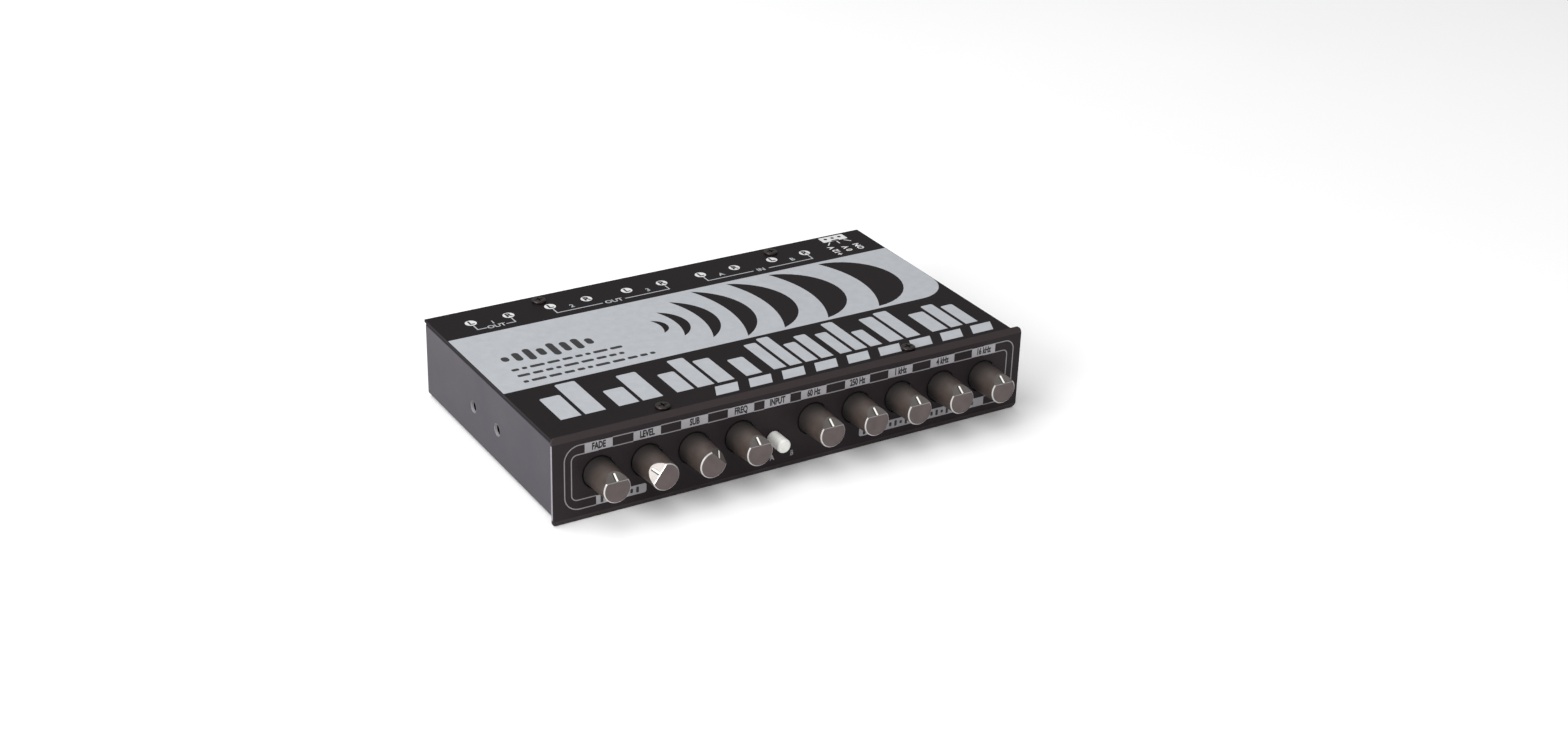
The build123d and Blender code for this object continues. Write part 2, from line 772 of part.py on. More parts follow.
with BuildPart() as jack_shells:
    with BuildSketch(facing_front(shell_rear)):
        with Locations(*jack_spots):
            Circle(jack_radius)
            Circle(jack_radius - jack_wall, mode=Mode.SUBTRACT)
    extrude(amount=jack_reach)
    # thicker where each shell passes through the rear panel into its block
    with BuildSketch(facing_front(case_rear)):
        with Locations(*jack_spots):
            Circle(jack_radius + jack_shoulder)
            Circle(jack_radius - jack_wall, mode=Mode.SUBTRACT)
    extrude(amount=case_rear - jack_seat_depth)
finish(jack_shells.part, "jack_shells")


def jack_insulators(spots, name):
    insulator_rear = shell_rear - insulator_setback
    with BuildPart() as insulators:
        with BuildSketch(facing_front(insulator_rear)):
            with Locations(*spots):
                Circle(jack_radius - jack_wall)
                Circle(contact_radius, mode=Mode.SUBTRACT)
        extrude(amount=insulator_rear - jack_seat_depth)
    finish(insulators.part, name)


jack_insulators(left_jack_spots, "jack_insulators_left")
jack_insulators(right_jack_spots, "jack_insulators_right")

contact_rear = shell_rear - contact_setback
with BuildPart() as jack_contacts:
    with BuildSketch(facing_front(contact_rear)):
        with Locations(*jack_spots):
            Circle(contact_radius)
            Circle(contact_radius - contact_wall, mode=Mode.SUBTRACT)
    extrude(amount=contact_rear - jack_seat_depth)
finish(jack_contacts.part, "jack_contacts")

# ---------------------------------------------------------------------------------------
# Power socket: a keyed shroud round three pins
# ---------------------------------------------------------------------------------------
socket_rear = case_rear + socket_reach
socket_floor = socket_rear - socket_cavity_depth
cavity_height = socket_height - 2 * socket_wall
pin_spots = [(socket_x + index * socket_pin_pitch, jack_height) for index in (-1, 0, 1)]

with BuildPart() as power_pins:
    with BuildSketch(facing_front(socket_rear - socket_pin_setback)):
        with Locations(*pin_spots):
            Rectangle(socket_pin_width, socket_pin_width)
    extrude(amount=socket_cavity_depth + socket_pin_embedded - socket_pin_setback)
finish(power_pins.part, "power_pins")

with BuildPart() as power_socket:
    with BuildSketch(facing_front(socket_rear)):
        with Locations(socket_spot):
            Rectangle(socket_width, socket_height)
    extrude(amount=socket_reach + sheet + socket_depth)
    with BuildSketch(level(board_top)):
        with Locations((socket_x, wall_rear - socket_depth / 2)):
            Rectangle(socket_width, socket_depth)
    extrude(amount=jack_height - board_top)
    with BuildSketch(facing_front(socket_rear)):
        with Locations(socket_spot):
            Rectangle(socket_width - 2 * socket_wall, cavity_height)
        with Locations((socket_x, jack_height + cavity_height / 2)):
            Rectangle(socket_key_width, 2 * socket_key_height)
    extrude(amount=socket_cavity_depth, mode=Mode.SUBTRACT)
    add(power_pins.part, mode=Mode.SUBTRACT)
finish(power_socket.part, "power_socket")

# ---------------------------------------------------------------------------------------
# Parts on the main board
# ---------------------------------------------------------------------------------------


def on_board(z):
    """A horizontal plane whose Y is measured from the main board's front edge."""
    return Plane(origin=(0, front_y + board_front, z), x_dir=(1, 0, 0), z_dir=(0, 0, 1))


with BuildPart() as amplifier_chips:
    with BuildSketch(on_board(board_top + chip_lift)):
        with Locations(*chip_places):
            Rectangle(chip_length, chip_width)
    extrude(amount=chip_height)
    with BuildSketch(on_board(board_top + chip_lift + chip_height)):
        with Locations(*[(x - chip_length / 2, depth) for x, depth in chip_places]):
            Circle(chip_notch_radius)
    extrude(amount=-chip_notch_radius, mode=Mode.SUBTRACT)
    with BuildSketch(on_board(board_top)):
        for chip_x, chip_depth in chip_places:
            with Locations((chip_x, chip_depth)):
                with GridLocations(chip_leg_pitch, chip_width, 4, 2):
                    Rectangle(chip_leg_width, chip_leg_width)
    extrude(amount=chip_lift + chip_height / 2)
finish(amplifier_chips.part, "amplifier_chips")


capacitor_sizes = (
    (small_capacitor_places, small_capacitor_radius, small_capacitor_height),
    (large_capacitor_places, large_capacitor_radius, large_capacitor_height),
)

# Cans with the rolled groove near their foot
with BuildPart() as capacitors:
    for places, can_radius, can_height in capacitor_sizes:
        with BuildSketch(on_board(board_top)):
            with Locations(*places):
                Circle(can_radius)
        extrude(amount=can_height)
        with BuildSketch(on_board(board_top + 2 * capacitor_groove)):
            with Locations(*places):
                Circle(can_radius)
                Circle(can_radius - capacitor_groove, mode=Mode.SUBTRACT)
        extrude(amount=2 * capacitor_groove, mode=Mode.SUBTRACT)
finish(capacitors.part, "capacitors")

with BuildPart() as voltage_regulator:
    body_width, body_depth, body_height = regulator_size
    body_bottom = board_top + regulator_leg_height
    with BuildSketch(on_board(body_bottom)):
        with Locations(regulator_place):
            Rectangle(body_width, body_depth)
    extrude(amount=body_height)
    with BuildSketch(on_board(body_bottom + body_height)):
        with Locations((regulator_place[0], regulator_place[1] + (body_depth - regulator_tab_thickness) / 2)):
            Rectangle(body_width, regulator_tab_thickness)
    extrude(amount=regulator_tab_height)
    with BuildSketch(facing_front(board_front + regulator_place[1] + body_depth / 2)):
        with Locations((regulator_place[0], body_bottom + body_height + regulator_tab_height / 2)):
            Circle(regulator_hole_radius)
    extrude(amount=regulator_tab_thickness, mode=Mode.SUBTRACT)
    with BuildSketch(on_board(board_top)):
        with Locations(regulator_place):
            with GridLocations(header_pitch, 1, 3, 1):
                Rectangle(regulator_leg_width, regulator_leg_width)
    extrude(amount=regulator_leg_height)
finish(voltage_regulator.part, "voltage_regulator")

choke_depth = board_front + choke_place[1]
with BuildPart() as supply_choke:
    with BuildSketch(facing_front(choke_depth, choke_place[0], board_top)):
        with Locations((choke_ring_radius, choke_wire_radius)):
            Circle(choke_wire_radius)
    revolve(axis=Axis((choke_place[0], front_y + choke_depth, board_top), (0, 0, 1)))
finish(supply_choke.part, "supply_choke")
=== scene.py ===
import json
import math

import bmesh
import bpy
from mathutils import Matrix, Vector


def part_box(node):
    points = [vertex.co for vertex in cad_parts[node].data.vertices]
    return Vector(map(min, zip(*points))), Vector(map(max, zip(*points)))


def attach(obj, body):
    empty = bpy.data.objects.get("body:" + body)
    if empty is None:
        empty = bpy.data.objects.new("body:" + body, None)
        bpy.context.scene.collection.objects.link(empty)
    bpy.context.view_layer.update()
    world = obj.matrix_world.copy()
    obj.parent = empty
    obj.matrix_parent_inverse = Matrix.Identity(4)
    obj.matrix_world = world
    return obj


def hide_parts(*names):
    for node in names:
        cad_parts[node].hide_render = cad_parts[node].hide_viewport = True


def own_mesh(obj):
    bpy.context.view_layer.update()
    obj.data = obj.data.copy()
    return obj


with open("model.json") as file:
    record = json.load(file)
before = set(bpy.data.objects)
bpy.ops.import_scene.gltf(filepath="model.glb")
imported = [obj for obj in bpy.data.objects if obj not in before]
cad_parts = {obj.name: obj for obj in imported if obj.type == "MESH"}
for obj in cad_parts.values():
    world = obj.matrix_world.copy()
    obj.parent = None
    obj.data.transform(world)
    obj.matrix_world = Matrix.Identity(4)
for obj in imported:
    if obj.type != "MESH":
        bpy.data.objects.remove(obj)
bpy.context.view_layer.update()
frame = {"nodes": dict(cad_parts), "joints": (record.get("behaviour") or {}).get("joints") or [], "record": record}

MM = 0.001
LEFT_CONTROLS = ("fader", "volume", "sub_level", "sub_cutoff")
RIGHT_CONTROLS = ("band_1", "band_2", "band_3", "band_4", "band_5")
CONTROLS = LEFT_CONTROLS + RIGHT_CONTROLS

# ---------------------------------------------------------------------------------------
# Places read from the frame
# ---------------------------------------------------------------------------------------
panel_low, panel_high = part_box("front_panel")
cover_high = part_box("top_cover")[1]
tray_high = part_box("chassis_tray")[1]
FACE_Y = panel_low.y
COVER_Z = cover_high.z
CENTRE_Z = (panel_low.z + panel_high.z) / 2
JOINT_AT = {j["child"]: Vector(j.get("pos_m", (0, 0, 0))) for j in frame["joints"]}
KNOB_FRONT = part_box("knob_fader")[0].y
side_holes = next(m for m in frame["record"]["mounts"] if m["name"] == "left_side_holes")
HOLE_Z = side_holes["pos_m"][2]
HOLE_RADIUS = side_holes["dims"]["hole_r_mm"] * MM
hole_middle = (side_holes["pos_m"][1] - FACE_Y) / MM
hole_spacing = side_holes["dims"]["spacing_x_mm"]
HOLE_DEPTHS = [hole_middle + hole_spacing * way / 2 for way in (-1, 1)]


def on_cover(x, depth):
    """A point of the cover's top, from x and the depth behind the panel's face, in mm."""
    return Vector((x * MM, FACE_Y + depth * MM))


# ---------------------------------------------------------------------------------------
# Materials
# ---------------------------------------------------------------------------------------
class Shader:
    """A node material with a few helpers, so that each one below reads as a recipe."""

    def __init__(self, name):
        self.material = bpy.data.materials.new(name)
        self.material.use_nodes = True
        self.nodes = self.material.node_tree.nodes
        self.links = self.material.node_tree.links
        self.bsdf = self.nodes["Principled BSDF"]
        self.coordinates = self.nodes.new("ShaderNodeTexCoord").outputs["Object"]

    def set(self, **values):
        """Sets the shader's inputs by name, with an underscore for each space."""
        for name, value in values.items():
            self.bsdf.inputs[name.replace("_", " ")].default_value = value

    def noise(self, scale, detail, roughness=0.55):
        """A noise in the object's own space, in features per metre."""
        texture = self.nodes.new("ShaderNodeTexNoise")
        texture.inputs["Scale"].default_value = scale
        texture.inputs["Detail"].default_value = detail
        texture.inputs["Roughness"].default_value = roughness
        self.links.new(self.coordinates, texture.inputs["Vector"])
        return texture.outputs["Fac"]

    def ramp(self, source, stops):
        """Colours that change along a noise; each stop is a place and a colour."""
        ramp = self.nodes.new("ShaderNodeValToRGB")
        elements = ramp.color_ramp.elements
        while len(elements) < len(stops):
            elements.new(0.5)
        for element, (position, colour) in zip(elements, stops):
            element.position = position
            element.color = (*colour, 1.0)
        self.links.new(source, ramp.inputs["Fac"])
        return ramp.outputs["Color"]

    def spread(self, source, low, high):
        """Maps a noise's usual 0.3 to 0.7 onto a range."""
        remap = self.nodes.new("ShaderNodeMapRange")
        remap.inputs["From Min"].default_value = 0.3
        remap.inputs["From Max"].default_value = 0.7
        remap.inputs["To Min"].default_value = low
        remap.inputs["To Max"].default_value = high
        self.links.new(source, remap.inputs["Value"])
        return remap.outputs["Result"]

    def maths(self, operation, first, second=0.0):
        """A maths node; either side may be a number or another node's output."""
        node = self.nodes.new("ShaderNodeMath")
        node.operation = operation
        for socket, value in zip(node.inputs, (first, second)):
            if isinstance(value, (int, float)):
                socket.default_value = value
            else:
                self.links.new(value, socket)
        return node.outputs["Value"]

    def between(self, source, low, high):
        """1 where a value lies inside a range, and 0 elsewhere."""
        above = self.maths("GREATER_THAN", source, low)
        below = self.maths("LESS_THAN", source, high)
        return self.maths("MULTIPLY", above, below)

    def smooth(self, source, low, high):
        """0 below one value and 1 above the other, with a soft step between them."""
        step = self.nodes.new("ShaderNodeMapRange")
        step.interpolation_type = "SMOOTHSTEP"
        step.inputs["From Min"].default_value = low
        step.inputs["From Max"].default_value = high
        self.links.new(source, step.inputs["Value"])
        return step.outputs["Result"]

    def place(self):
        """The part's own x, y and z, in metres."""
        split = self.nodes.new("ShaderNodeSeparateXYZ")
        self.links.new(self.coordinates, split.inputs["Vector"])
        return [split.outputs[axis] for axis in "XYZ"]

    def facing(self):
        """The size of each part of the flat normal, which tells a face by the way that it looks."""
        split = self.nodes.new("ShaderNodeSeparateXYZ")
        self.links.new(self.nodes.new("ShaderNodeNewGeometry").outputs["True Normal"], split.inputs["Vector"])
        return [self.maths("ABSOLUTE", split.outputs[axis]) for axis in "XYZ"]

    def blend(self, mask, first, second):
        """A colour, or a number, that goes from the first to the second with the mask."""
        number = isinstance(second, (int, float))
        node = self.nodes.new("ShaderNodeMix")
        node.data_type = "FLOAT" if number else "RGBA"
        offset = 0 if number else 4
        self.links.new(mask, node.inputs[0])
        for socket, value in zip(node.inputs[offset + 2:offset + 4], (first, second)):
            if isinstance(value, (int, float)):
                socket.default_value = value
            elif isinstance(value, tuple):
                socket.default_value = (*value, 1.0)
            else:
                self.links.new(value, socket)
        return node.outputs[0 if number else 2]

    def feed(self, name, source):
        """Links an output to one of the shader's inputs."""
        self.links.new(source, self.bsdf.inputs[name])

    def colour(self, source):
        self.feed("Base Color", source)

    def roughness(self, source):
        self.feed("Roughness", source)

    def cloudy(self, source, colour, darkest, lightest):
        """A colour that a noise makes a little darker here and lighter there."""
        return self.ramp(source, ((0.3, shade(colour, darkest)), (0.7, shade(colour, lightest))))

    def bump(self, source, strength, distance):
        bump = self.nodes.new("ShaderNodeBump")
        bump.inputs["Strength"].default_value = strength
        bump.inputs["Distance"].default_value = distance
        self.links.new(source, bump.inputs["Height"])
        self.links.new(bump.outputs["Normal"], self.bsdf.inputs["Normal"])


def shade(colour, factor):
    """A colour made darker or lighter."""
    return tuple(channel * factor for channel in colour)


def painted(name, colour, roughness, specular):
    """Satin powder coat: a fine orange-peel grain, and a faint cloudiness in tone and gloss."""
    s = Shader(name)
    cloud = s.noise(45.0, 4.0)
    grain = s.noise(2600.0, 2.0)
    s.colour(s.cloudy(cloud, colour, 0.88, 1.12))
    s.roughness(s.spread(cloud, roughness - 0.04, roughness + 0.06))
    s.bump(grain, 0.25, 0.02 * MM)
    s.set(Specular_IOR_Level=specular)
    return s.material


def moulded(name, colour, roughness):
    """Moulded plastic with a fine spark-eroded texture."""
    s = Shader(name)
    cloud = s.noise(220.0, 3.0)
    grain = s.noise(3200.0, 2.0)
    s.colour(s.cloudy(cloud, colour, 0.9, 1.1))
    s.roughness(s.spread(grain, roughness - 0.05, roughness + 0.07))
    s.bump(grain, 0.3, 0.015 * MM)
    return s.material


def metal(name, colour, roughness, bump=0.2, wear=0.08):
    """Plated or drawn metal; wear is how far its roughness strays to either side."""
    s = Shader(name)
    grain = s.noise(900.0, 4.0)
    cloud = s.noise(130.0, 3.0)
    s.colour(s.cloudy(cloud, colour, 0.85, 1.0))
    s.roughness(s.spread(grain, roughness - wear, roughness + wear))
    s.bump(grain, bump, 0.01 * MM)
    s.set(Metallic=1.0)
    return s.material


def printed(name, colour, metallic, roughness):
    """Screen-printed ink: slightly mottled where the mesh left it thinner."""
    s = Shader(name)
    mesh_noise = s.noise(1500.0, 2.0)
    mottle = s.noise(300.0, 5.0, 0.7)
    s.colour(s.cloudy(mottle, colour, 0.93, 1.05))
    s.roughness(s.spread(mesh_noise, roughness - 0.06, roughness + 0.06))
    s.bump(mesh_noise, 0.25, 0.01 * MM)
    s.set(Metallic=metallic)
    return s.material


def cover_paint():
    """Satin black paint with very little shine, for the cover and the rear wall."""
    s = Shader("case_black")
    cloud = s.noise(45.0, 4.0)
    grain = s.noise(2600.0, 2.0)
    s.colour(s.ramp(cloud, ((0.3, (0.0098, 0.0076, 0.0082)), (0.7, (0.0132, 0.0104, 0.0112)))))
    s.roughness(s.spread(cloud, 0.44, 0.54))
    s.bump(grain, 0.25, 0.02 * MM)
    s.set(Specular_IOR_Level=0.05)
    return s.material


def tray_paint():
    """Grey-black paint; bare metal round the punched side holes, made pale enough to stand for the light on the
    hole walls too, and a painted shadow along the top of the walls under the cover's edge.
    """
    # Painted shadow: the walls go black along their top, where the cover's overhang shades them.
    cover_shadow_starts = tray_high.z - 1.5 * MM
    cover_shadow_full = tray_high.z - 0.7 * MM
    cover_shadow_black = (0.006, 0.0055, 0.006)
    bare_steel_and_highlight = (0.34, 0.33, 0.34)
    inside_of_walls = tray_high.x - 1.6 * MM
    s = Shader("case_side")
    cloud = s.noise(45.0, 4.0)
    grain = s.noise(2600.0, 2.0)
    x, y, z = s.place()
    paint = s.ramp(cloud, ((0.3, (0.0275, 0.025, 0.0325)), (0.7, (0.0345, 0.0315, 0.0405))))
    cover_shadow = s.smooth(z, cover_shadow_starts, cover_shadow_full)
    colour = s.blend(cover_shadow, paint, cover_shadow_black)
    walls = s.maths("GREATER_THAN", s.maths("ABSOLUTE", x), inside_of_walls)
    # Bare metal round the punched side holes, made pale enough to also stand for the light on the hole walls:
    # partly painted highlight.
    up = s.maths("SUBTRACT", z, HOLE_Z)
    up_squared = s.maths("MULTIPLY", up, up)
    bare_edge_and_highlight = 0.0
    for depth in HOLE_DEPTHS:
        along = s.maths("SUBTRACT", y, FACE_Y + depth * MM)
        away = s.maths("SQRT", s.maths("ADD", s.maths("MULTIPLY", along, along), up_squared))
        bare_edge_and_highlight = s.maths("ADD", s.maths("LESS_THAN", away, HOLE_RADIUS + 0.03 * MM), bare_edge_and_highlight)
    bare_edge_and_highlight = s.maths("MULTIPLY", bare_edge_and_highlight, walls)
    s.colour(s.blend(bare_edge_and_highlight, colour, bare_steel_and_highlight))
    s.roughness(s.blend(cover_shadow, s.spread(cloud, 0.4, 0.5), 0.95))
    s.bump(grain, 0.3, 0.02 * MM)
    s.set(Specular_IOR_Level=0.34, Specular_Tint=(0.95, 0.85, 1.0, 1.0))
    return s.material


def panel_paint():
    """Satin black face, a painted highlight on the bevels along its two long edges, and bare metal at its two
    ends, made pale enough to also stand for the light on them.
    """
    bevel_painted_highlight = (0.036, 0.0285, 0.0295)
    bare_end_and_highlight = (0.25, 0.235, 0.26)
    corner = 2.4 * MM
    s = Shader("panel_black")
    cloud = s.noise(60.0, 4.0)
    grain = s.noise(3000.0, 2.0)
    sideways, _, upward = s.facing()
    # Painted highlight: the bevels get a paler grey, for the light that they catch.
    bevel_highlight_mask = s.between(upward, 0.15, 0.95)
    _, y, z = s.place()
    # Bare metal on the panel's two ends, short of the corners, made pale enough to also stand for the light on
    # those edges: partly painted highlight.
    ends = s.maths("GREATER_THAN", sideways, 0.8)
    behind_face = s.maths("GREATER_THAN", y, FACE_Y + 0.2 * MM)
    edge = s.maths("MULTIPLY", ends, behind_face)
    edge = s.maths("MULTIPLY", edge, s.between(z, corner, panel_high.z - corner))
    face = s.ramp(cloud, ((0.3, (0.0185, 0.0142, 0.016)), (0.7, (0.0245, 0.0188, 0.0212))))
    colour = s.blend(bevel_highlight_mask, face, bevel_painted_highlight)
    s.colour(s.blend(edge, colour, bare_end_and_highlight))
    s.roughness(s.spread(cloud, 0.44, 0.54))
    s.bump(grain, 0.3, 0.018 * MM)
    s.set(Specular_IOR_Level=0.09)
    return s.material


def knob_plastic():
    """Grey-brown knob: a dark turned side with painted shade towards the base, a front painted paler for the light
    on it, a polished pointer facet painted paler still for its glare, and a painted highlight in bright metal
    round the rim.
    """
    side_grey, base_painted_shade = (0.058, 0.044, 0.038), (0.013, 0.01, 0.0095)
    facet_painted_glare, front_painted_light = (0.135, 0.124, 0.118), (0.084, 0.062, 0.0615)
    rim_painted_highlight = (0.54, 0.53, 0.52)
    # How squarely each kind of face looks to the front: the facet least, the front most
    facet_range, rim_range, front_least = (0.45, 0.62), (0.62, 0.93), 0.93
    s = Shader("knob_grey")
    grain = s.noise(3200.0, 2.0)
    cloud = s.noise(260.0, 3.0)
    _, y, _ = s.place()
    _, forward, _ = s.facing()
    depth = s.maths("SUBTRACT", y, KNOB_FRONT)
    front = s.maths("GREATER_THAN", forward, front_least)
    facet = s.between(forward, *facet_range)
    # Painted highlight: a bright metal colour round the front rim and along the facet's front edge.
    rim = s.maths("MULTIPLY", s.between(forward, *rim_range), s.maths("LESS_THAN", depth, 0.6 * MM))
    chord = s.maths("MULTIPLY", facet, s.maths("LESS_THAN", depth, 0.16 * MM))
    painted_highlight_mask = s.maths("MAXIMUM", rim, chord)
    # Painted shade: the side darkens towards the base, where the knob meets the panel.
    towards_base_shade = s.smooth(depth, 3.5 * MM, 12.0 * MM)
    side = s.blend(towards_base_shade, side_grey, base_painted_shade)
    # Painted light: the front and the facet get paler colours than the side, for the light on the front and the
    # glare off the facet.
    colour = s.blend(facet, side, facet_painted_glare)
    colour = s.blend(front, colour, front_painted_light)
    mottle = s.cloudy(cloud, (1.0, 1.0, 1.0), 0.86, 1.14)
    mixed = s.nodes.new("ShaderNodeVectorMath")
    mixed.operation = "MULTIPLY"
    s.links.new(colour, mixed.inputs[0])
    s.links.new(mottle, mixed.inputs[1])
    s.colour(s.blend(painted_highlight_mask, mixed.outputs["Vector"], rim_painted_highlight))
    s.feed("Metallic", s.blend(painted_highlight_mask, s.maths("MULTIPLY", facet, 0.5), 0.85))
    turned = s.blend(towards_base_shade, s.spread(grain, 0.34, 0.44), 0.75)
    s.roughness(s.blend(facet, turned, 0.15))
    s.bump(grain, 0.1, 0.01 * MM)
    s.set(Specular_IOR_Level=0.36)
    return s.material


CASE_BLACK = cover_paint()
SIDE_GREY = tray_paint()
PANEL_BLACK = panel_paint()
SILVER_INK = printed("silver_ink", (0.38, 0.395, 0.42), 0.1, 0.5)
GREY_INK = printed("grey_ink", (0.32, 0.31, 0.325), 0.1, 0.5)
LINE_INK = printed("line_ink", (0.21, 0.205, 0.21), 0.1, 0.5)
BLACK_INK = printed("black_ink", (0.011, 0.0095, 0.0105), 0.0, 0.6)
WHITE_INK = printed("white_ink", (0.6, 0.6, 0.6), 0.0, 0.45)
POINTER_INK = printed("pointer_ink", (0.8, 0.79, 0.74), 0.0, 0.4)
KNOB_GREY = knob_plastic()
BUTTON_WHITE = moulded("button_white", (0.78, 0.775, 0.74), 0.32)
ZINC = metal("zinc_plate", (0.5, 0.5, 0.53), 0.42)
BRACKET = painted("bracket_black", (0.012, 0.01, 0.011), 0.5, 0.12)
NICKEL = metal("nickel", (0.72, 0.7, 0.67), 0.3, bump=0.01, wear=0.02)
SCREW_BLACK = metal("black_oxide", (0.05, 0.042, 0.04), 0.4)
STEEL_WIRE = metal("steel_wire", (0.55, 0.55, 0.56), 0.25)
TURNED = metal("turned_aluminium", (0.66, 0.66, 0.68), 0.3)
GOLD = metal("gold_plate", (0.78, 0.56, 0.22), 0.24)
POT_CAN = metal("pot_can", (0.46, 0.46, 0.46), 0.4)
SOCKET_WHITE = moulded("socket_white", (0.7, 0.68, 0.62), 0.45)
INSULATOR_WHITE = moulded("insulator_white", (0.76, 0.75, 0.72), 0.4)
INSULATOR_RED = moulded("insulator_red", (0.52, 0.025, 0.02), 0.4)
BLACK_PLASTIC = moulded("black_plastic", (0.018, 0.018, 0.019), 0.5)
SOLDER_MASK = moulded("solder_mask", (0.02, 0.12, 0.045), 0.35)
SLEEVE = moulded("capacitor_sleeve", (0.02, 0.03, 0.1), 0.25)
ENAMEL = moulded("wire_enamel", (0.3, 0.1, 0.03), 0.3)

NODE_MATERIALS = {
    "chassis_tray": SIDE_GREY, "rear_panel": CASE_BLACK, "top_cover": CASE_BLACK,
    "front_bracket": BRACKET, "front_panel": PANEL_BLACK, "top_cover_screws": SCREW_BLACK,
    "case_rivets": TURNED, "panel_studs": ZINC, "panel_nuts": NICKEL,
    # The potentiometer washers and nuts are black so that the gap round each knob's base stays dark: painted shade
    # there.
    "potentiometer_washers": SCREW_BLACK, "potentiometer_nuts": SCREW_BLACK,
    "source_button": BUTTON_WHITE, "switch_plunger": INSULATOR_WHITE,
    "switch_body": BLACK_PLASTIC, "switch_spring": STEEL_WIRE,
    "control_board": SOLDER_MASK, "main_board": SOLDER_MASK,
    "board_standoffs": GOLD, "board_screws": ZINC, "header_pins": GOLD,
    "header_body": BLACK_PLASTIC, "jack_blocks": BLACK_PLASTIC, "jack_shells": NICKEL,
    "jack_insulators_left": INSULATOR_WHITE, "jack_insulators_right": INSULATOR_RED,
    "jack_contacts": GOLD, "power_pins": GOLD, "power_socket": SOCKET_WHITE,
    "amplifier_chips": BLACK_PLASTIC, "capacitors": SLEEVE,
    "voltage_regulator": BLACK_PLASTIC, "supply_choke": ENAMEL,
}
for control in CONTROLS:
    NODE_MATERIALS["knob_" + control] = KNOB_GREY
    NODE_MATERIALS["shaft_" + control] = TURNED
    NODE_MATERIALS["potentiometer_" + control] = POT_CAN

for node, obj in frame["nodes"].items():
    obj.data.materials.clear()
    obj.data.materials.append(NODE_MATERIALS[node])

# ---------------------------------------------------------------------------------------
# Flat outlines, in metres on the plane that they are printed on
# ---------------------------------------------------------------------------------------
def arc(centre, radius, start, end, steps=10):
    """Points on a circle from one angle to another, in degrees."""
    points = []
    for index in range(steps + 1):
        angle = math.radians(start + (end - start) * index / steps)
        spoke = Vector((math.cos(angle), math.sin(angle)))
        points.append(Vector((centre[0] + radius * spoke.x, centre[1] + radius * spoke.y)))
    return points


def rounded(x0, x1, y0, y1, radius, square=()):
    """A rectangle with rounded corners; square names those left sharp, of 0 to 3 from the low corner."""
    corners = ((x0, y0), (x1, y0), (x1, y1), (x0, y1))
    points = []
    for index, (x, y) in enumerate(corners):
        if index in square:
            points.append(Vector((x, y)))
            continue
        cx = x0 + radius if index in (0, 3) else x1 - radius
        cy = y0 + radius if index in (0, 1) else y1 - radius
        points += arc((cx, cy), radius, 180 + 90 * index, 270 + 90 * index)
    return points


def circle(centre, radius, steps=32):
    """A closed circle, which doesn't repeat its first point."""
    return arc(centre, radius, 0, 360 - 360 / steps, steps - 1)


# The least share of a corner's mitre that a stroke is widened by, so that no corner runs to a spike
LEAST_MITRE = 0.35


def stroke(points, width):
    """The outline of an open path drawn with a pen of one width."""
    left, right = [], []
    for index, point in enumerate(points):
        before = points[max(index - 1, 0)]
        after = points[min(index + 1, len(points) - 1)]
        to_here = (point - before).normalized() if index else (after - point).normalized()
        onward = (after - point).normalized() if index < len(points) - 1 else to_here
        along = (to_here + onward).normalized()
        across = Vector((-along.y, along.x))
        reach = width / 2 / max(LEAST_MITRE, along.dot(to_here))
        left.append(point + across * reach)
        right.append(point - across * reach)
    return left + right[::-1]


def bow(start, end, rise, steps=20):
    """Points on the arc from one point to another that rises by so much to one side of their chord."""
    start, end = Vector(start), Vector(end)
    half = (end - start).length / 2
    radius = (half**2 + rise**2) / (2 * rise)
    along = (end - start).normalized()
    across = Vector((-along.y, along.x))
    centre = (start + end) / 2 - across * (radius - rise)
    spread = math.asin(min(1.0, half / radius))
    points = []
    for index in range(steps + 1):
        angle = spread * (2 * index / steps - 1)
        points.append(centre + across * radius * math.cos(angle) + along * radius * math.sin(angle))
    return points


# ---------------------------------------------------------------------------------------
# Printed pieces
# ---------------------------------------------------------------------------------------
PRINT_THICKNESS = 0.03 * MM
# How far a print reaches into the surface below it, so that no gap shows
PRINT_SINK = 0.004 * MM
# How far a print is lifted where it crosses or lies on another one
BOX_LIFT = 0.01 * MM
OVERPRINT = 0.02 * MM
TOP_PRINT = 0.03 * MM
# Points of a mesh closer together than this are one
WELD = 0.002 * MM
# Each plane takes an outline's x and y to a place on the object; its z points outwards.
COVER_PLANE = Matrix.Translation((0, 0, COVER_Z))
FACE_PLANE = Matrix(((1, 0, 0, 0), (0, 0, -1, FACE_Y), (0, 1, 0, 0), (0, 0, 0, 1)))


def as_piece(name, mesh, material, body):
    """Makes a mesh a visible piece that moves with one body."""
    obj = bpy.data.objects.new(name, mesh)
    bpy.context.scene.collection.objects.link(obj)
    obj.data.materials.clear()
    obj.data.materials.append(material)
    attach(obj, body)
    return obj


